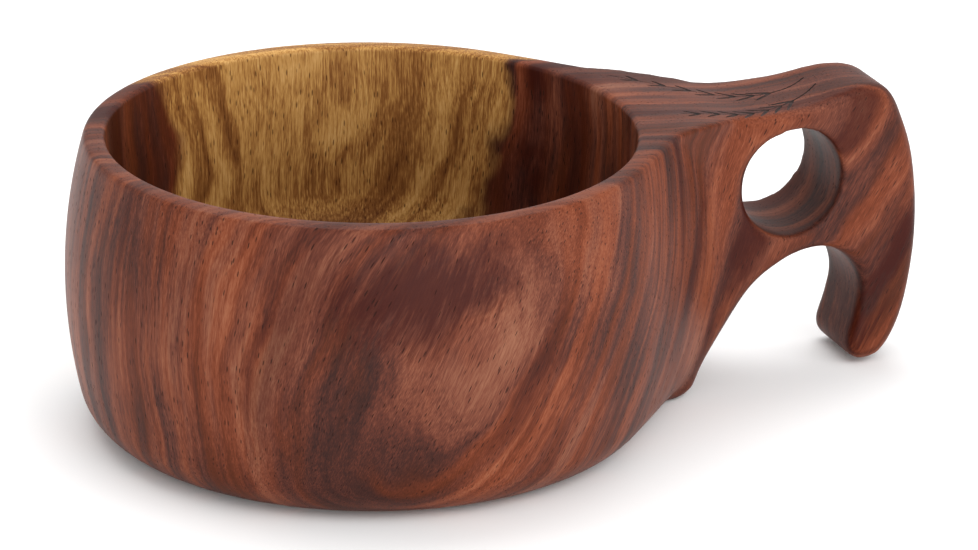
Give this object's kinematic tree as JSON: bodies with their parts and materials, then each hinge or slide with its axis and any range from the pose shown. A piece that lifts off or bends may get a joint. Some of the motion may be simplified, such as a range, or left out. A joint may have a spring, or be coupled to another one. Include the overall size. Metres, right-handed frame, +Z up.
{
  "type": "kuksa wooden cup",
  "caption": "Low round drinking cup carved from wood, with a tapered side handle that has a finger hole, a hook-shaped finger notch and burnt leaf sprigs on top.",
  "frame": {"origin": "centre of the bowl's foot, on the surface that the cup stands on", "axes": "+Z up along the bowl's axis, +X along the handle"},
  "size_m": [0.1696, 0.1158, 0.058],
  "materials": {
    "acacia_bowl": "sanded and oiled, satin",
    "acacia_handle": "sanded and oiled, satin, with burnt leaf sprigs on top"
  },
  "bodies": {
    "root": {"bowl": "acacia_bowl", "handle": "acacia_handle"}
  },
  "joints": []
}
